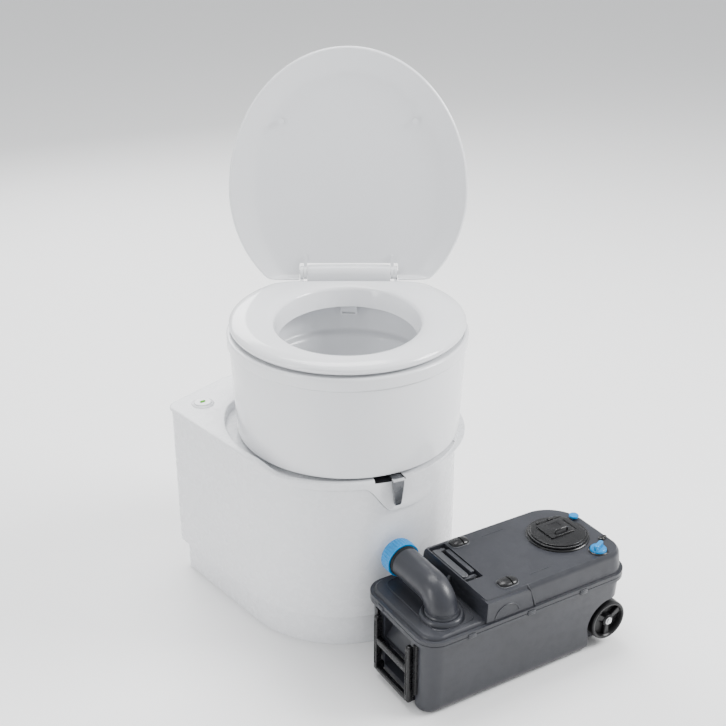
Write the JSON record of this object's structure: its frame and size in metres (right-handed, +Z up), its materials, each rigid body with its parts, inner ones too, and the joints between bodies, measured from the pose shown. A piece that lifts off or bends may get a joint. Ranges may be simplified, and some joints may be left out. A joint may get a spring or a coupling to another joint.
{
  "type": "cassette toilet",
  "caption": "Swivelling toilet bowl with seat and lid on a round-fronted base, with a wheeled waste cassette that has a pour-out spout, standing in front of it.",
  "frame": {"origin": "on the floor under the bowl's swivel axis", "axes": "+Z up, the base's round front faces -Y, the bowl at rest is turned 40 degrees from -Y towards -X"},
  "size_m": [0.4875, 0.6941, 0.8648],
  "materials": {
    "white_shell": "gloss",
    "white_casing": "satin",
    "seat_white": "gloss",
    "liner_white": "gloss",
    "inner_grey": "matte",
    "dark_inner": "matte",
    "lever_grey": "satin",
    "led_green": "gloss",
    "tank_grey": "satin",
    "trim_black": "satin",
    "cap_blue": "satin",
    "rubber_black": "matte",
    "rubber_grey": "matte",
    "steel": "brushed",
    "wheel_black": "matte",
    "hose_clear": "matte",
    "float_orange": "matte",
    "handle_grey": "satin"
  },
  "bodies": {
    "base": {"floor_tray": "inner_grey", "plinth": "white_casing", "base_casing": "white_casing", "deck_cover": "white_casing", "bay_guides": "inner_grey", "swivel_bearing": "inner_grey", "drop_funnel": "dark_inner", "mouth_seal": "rubber_grey", "button_bezel": "white_casing", "control_box": "dark_inner", "flush_pump": "dark_inner", "flush_hose": "hose_clear", "water_inlet": "dark_inner"},
    "flush_button": {"flush_button": "white_shell", "button_led": "led_green"},
    "blade_lever": {"lever_ring": "lever_grey", "lever_paddle": "lever_grey"},
    "bowl": {"turntable_hub": "inner_grey", "retaining_ring": "dark_inner", "bowl_shell": "white_shell", "rim_band": "white_shell", "bowl_liner": "liner_white", "flush_nozzle": "liner_white", "flush_pipe": "hose_clear", "hinge_cover": "seat_white", "hinge_pin": "steel"},
    "seat": {"seat": "seat_white", "seat_bumpers": "rubber_grey"},
    "lid": {"lid": "seat_white", "lid_bumpers": "seat_white"},
    "cassette": {"tank_lower": "tank_grey", "tank_upper": "tank_grey", "tank_gasket": "rubber_black", "skid_feet": "rubber_black", "spout_collar": "tank_grey", "mouth_frame": "trim_black", "lip_seal": "rubber_grey", "blade_guides": "dark_inner", "cover_hook": "trim_black", "deck_clips": "trim_black", "handle_pins": "steel", "float_bracket": "dark_inner", "wheel_axle": "steel", "handle_brackets": "dark_inner", "rail_trims": "trim_black"},
    "spout": {"spout_elbow": "tank_grey"},
    "spout_cap": {"spout_cap": "cap_blue", "cap_gasket": "rubber_black"},
    "slide_cover": {"slide_cover": "trim_black", "cover_latch": "trim_black"},
    "mouth_blade": {"mouth_blade": "trim_black"},
    "blade_knob": {"blade_knob": "cap_blue"},
    "vent_button": {"vent_button": "cap_blue", "vent_valve": "rubber_black"},
    "carry_handle": {"carry_handle": "handle_grey"},
    "level_float": {"level_float": "float_orange"},
    "wheel_near": {"wheel_near": "wheel_black"},
    "wheel_far": {"wheel_far": "wheel_black"},
    "pull_handle": {"pull_handle": "trim_black"}
  },
  "joints": [
    {"name": "bowl_swivel", "type": "hinge", "parent": "base", "child": "bowl", "pos_m": [0, 0, 0.3], "axis": [0, 0, 1], "range_deg": [-50, 130]},
    {"name": "seat_hinge", "type": "hinge", "parent": "bowl", "child": "seat", "pos_m": [0.10927, 0.13023, 0.497], "axis": [-0.766, 0.6428, 0], "range_deg": [0, 92]},
    {"name": "lid_hinge", "type": "hinge", "parent": "bowl", "child": "lid", "pos_m": [0.10927, 0.13023, 0.497], "axis": [-0.766, 0.6428, 0], "range_deg": [-100, 0]},
    {"name": "lever_swing", "type": "hinge", "parent": "base", "child": "blade_lever", "pos_m": [0, 0, 0.3], "axis": [0, 0, 1], "range_deg": [0, 36]},
    {"name": "flush_press", "type": "slide", "parent": "base", "child": "flush_button", "axis": [0, 0, -1], "range_m": [0, 0.0025], "stiffness_N_per_m": 600},
    {"name": "cassette_roll", "type": "slide", "parent": "base", "child": "cassette", "axis": [0.9877, -0.1564, 0], "range_m": [0, 0.15]},
    {"name": "spout_swivel", "type": "hinge", "parent": "cassette", "child": "spout", "pos_m": [-0.08782, -0.32075, 0.15], "axis": [0, 0, 1], "range_deg": [0, 135]},
    {"name": "cap_turn", "type": "hinge", "parent": "spout", "child": "spout_cap", "pos_m": [-0.07061, -0.2121, 0.175], "axis": [0.1564, 0.9877, 0], "range_deg": [0, 270]},
    {"name": "cover_slide", "type": "slide", "parent": "cassette", "child": "slide_cover", "axis": [-0.9877, 0.1564, 0], "range_m": [0, 0.086]},
    {"name": "knob_turn", "type": "hinge", "parent": "cassette", "child": "blade_knob", "pos_m": [0.17905, -0.38732, 0.175], "axis": [0, 0, 1], "range_deg": [0, 90]},
    {"name": "blade_slide", "type": "slide", "parent": "cassette", "child": "mouth_blade", "axis": [-0.9877, 0.1564, 0], "range_m": [0, 0.084]},
    {"name": "vent_press", "type": "slide", "parent": "cassette", "child": "vent_button", "axis": [0, 0, -1], "range_m": [0, 0.003], "stiffness_N_per_m": 300},
    {"name": "carry_handle_lift", "type": "hinge", "parent": "cassette", "child": "carry_handle", "pos_m": [-0.00243, -0.26745, 0.163], "axis": [0.1564, 0.9877, 0], "range_deg": [0, 90]},
    {"name": "float_swing", "type": "hinge", "parent": "cassette", "child": "level_float", "pos_m": [0.01736, -0.2959, 0.124], "axis": [-0.1564, -0.9877, 0], "range_deg": [0, 55]},
    {"name": "wheel_near_spin", "type": "hinge", "parent": "cassette", "child": "wheel_near", "pos_m": [0.19428, -0.39985, 0.046], "axis": [0.1564, 0.9877, 0], "continuous": true},
    {"name": "wheel_far_spin", "type": "hinge", "parent": "cassette", "child": "wheel_far", "pos_m": [0.21743, -0.25368, 0.046], "axis": [0.1564, 0.9877, 0], "continuous": true},
    {"name": "pull_handle_slide", "type": "slide", "parent": "cassette", "child": "pull_handle", "axis": [-0.9877, 0.1564, 0], "range_m": [0, 0.13]}
  ],
  "couplings": [
    {"joint": "knob_turn", "follows": "blade_slide", "rad_per_m": 18.69}
  ]
}
